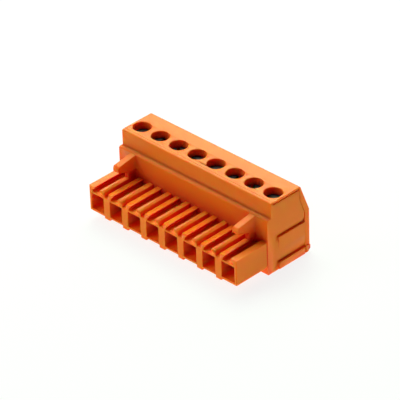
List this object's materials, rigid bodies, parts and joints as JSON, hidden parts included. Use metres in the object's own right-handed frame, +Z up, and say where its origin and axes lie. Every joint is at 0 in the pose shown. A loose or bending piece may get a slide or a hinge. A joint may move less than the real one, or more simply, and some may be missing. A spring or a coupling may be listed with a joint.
{
  "type": "female connector housing",
  "caption": "Plug with a row of pin sockets, guide ribs and lugs in front and screw-driven wire clamps behind, in a two-part moulded housing.",
  "frame": {"origin": "middle of the part on the plane of its underside", "axes": "+X along the row of poles, -Y out of the mating face, +Y out of the wire entries, +Z up out of the screw holes"},
  "size_m": [0.0406, 0.0204, 0.0159],
  "materials": {
    "housing": "smooth moulded, slightly glossy",
    "contact": "tinned",
    "yoke": "zinc plated",
    "screw": "dark passivated"
  },
  "bodies": {
    "housing": {"socket_housing": "housing", "rear_cover": "housing", "contact_1": "contact", "contact_2": "contact", "contact_3": "contact", "contact_4": "contact", "contact_5": "contact", "contact_6": "contact", "contact_7": "contact", "contact_8": "contact"},
    "screw_1": {"screw_1": "screw"},
    "yoke_1": {"yoke_1": "yoke"},
    "screw_2": {"screw_2": "screw"},
    "yoke_2": {"yoke_2": "yoke"},
    "screw_3": {"screw_3": "screw"},
    "yoke_3": {"yoke_3": "yoke"},
    "screw_4": {"screw_4": "screw"},
    "yoke_4": {"yoke_4": "yoke"},
    "screw_5": {"screw_5": "screw"},
    "yoke_5": {"yoke_5": "yoke"},
    "screw_6": {"screw_6": "screw"},
    "yoke_6": {"yoke_6": "yoke"},
    "screw_7": {"screw_7": "screw"},
    "yoke_7": {"yoke_7": "yoke"},
    "screw_8": {"screw_8": "screw"},
    "yoke_8": {"yoke_8": "yoke"}
  },
  "joints": [
    {"name": "screw_1_turn", "type": "hinge", "parent": "housing", "child": "screw_1", "pos_m": [-0.01778, 0.00277, 0.0133], "axis": [0, 0, -1], "range_deg": [0, 2080]},
    {"name": "yoke_1_climb", "type": "slide", "parent": "housing", "child": "yoke_1", "axis": [0, 0, 1], "range_m": [0, 0.0026]},
    {"name": "screw_2_turn", "type": "hinge", "parent": "housing", "child": "screw_2", "pos_m": [-0.0127, 0.00277, 0.0133], "axis": [0, 0, -1], "range_deg": [0, 2080]},
    {"name": "yoke_2_climb", "type": "slide", "parent": "housing", "child": "yoke_2", "axis": [0, 0, 1], "range_m": [0, 0.0026]},
    {"name": "screw_3_turn", "type": "hinge", "parent": "housing", "child": "screw_3", "pos_m": [-0.00762, 0.00277, 0.0133], "axis": [0, 0, -1], "range_deg": [0, 2080]},
    {"name": "yoke_3_climb", "type": "slide", "parent": "housing", "child": "yoke_3", "axis": [0, 0, 1], "range_m": [0, 0.0026]},
    {"name": "screw_4_turn", "type": "hinge", "parent": "housing", "child": "screw_4", "pos_m": [-0.00254, 0.00277, 0.0133], "axis": [0, 0, -1], "range_deg": [0, 2080]},
    {"name": "yoke_4_climb", "type": "slide", "parent": "housing", "child": "yoke_4", "axis": [0, 0, 1], "range_m": [0, 0.0026]},
    {"name": "screw_5_turn", "type": "hinge", "parent": "housing", "child": "screw_5", "pos_m": [0.00254, 0.00277, 0.0133], "axis": [0, 0, -1], "range_deg": [0, 2080]},
    {"name": "yoke_5_climb", "type": "slide", "parent": "housing", "child": "yoke_5", "axis": [0, 0, 1], "range_m": [0, 0.0026]},
    {"name": "screw_6_turn", "type": "hinge", "parent": "housing", "child": "screw_6", "pos_m": [0.00762, 0.00277, 0.0133], "axis": [0, 0, -1], "range_deg": [0, 2080]},
    {"name": "yoke_6_climb", "type": "slide", "parent": "housing", "child": "yoke_6", "axis": [0, 0, 1], "range_m": [0, 0.0026]},
    {"name": "screw_7_turn", "type": "hinge", "parent": "housing", "child": "screw_7", "pos_m": [0.0127, 0.00277, 0.0133], "axis": [0, 0, -1], "range_deg": [0, 2080]},
    {"name": "yoke_7_climb", "type": "slide", "parent": "housing", "child": "yoke_7", "axis": [0, 0, 1], "range_m": [0, 0.0026]},
    {"name": "screw_8_turn", "type": "hinge", "parent": "housing", "child": "screw_8", "pos_m": [0.01778, 0.00277, 0.0133], "axis": [0, 0, -1], "range_deg": [0, 2080]},
    {"name": "yoke_8_climb", "type": "slide", "parent": "housing", "child": "yoke_8", "axis": [0, 0, 1], "range_m": [0, 0.0026]}
  ],
  "couplings": [
    {"joint": "screw_1_turn", "follows": "yoke_1_climb", "rad_per_m": 13963},
    {"joint": "screw_2_turn", "follows": "yoke_2_climb", "rad_per_m": 13963},
    {"joint": "screw_3_turn", "follows": "yoke_3_climb", "rad_per_m": 13963},
    {"joint": "screw_4_turn", "follows": "yoke_4_climb", "rad_per_m": 13963},
    {"joint": "screw_5_turn", "follows": "yoke_5_climb", "rad_per_m": 13963},
    {"joint": "screw_6_turn", "follows": "yoke_6_climb", "rad_per_m": 13963},
    {"joint": "screw_7_turn", "follows": "yoke_7_climb", "rad_per_m": 13963},
    {"joint": "screw_8_turn", "follows": "yoke_8_climb", "rad_per_m": 13963}
  ]
}
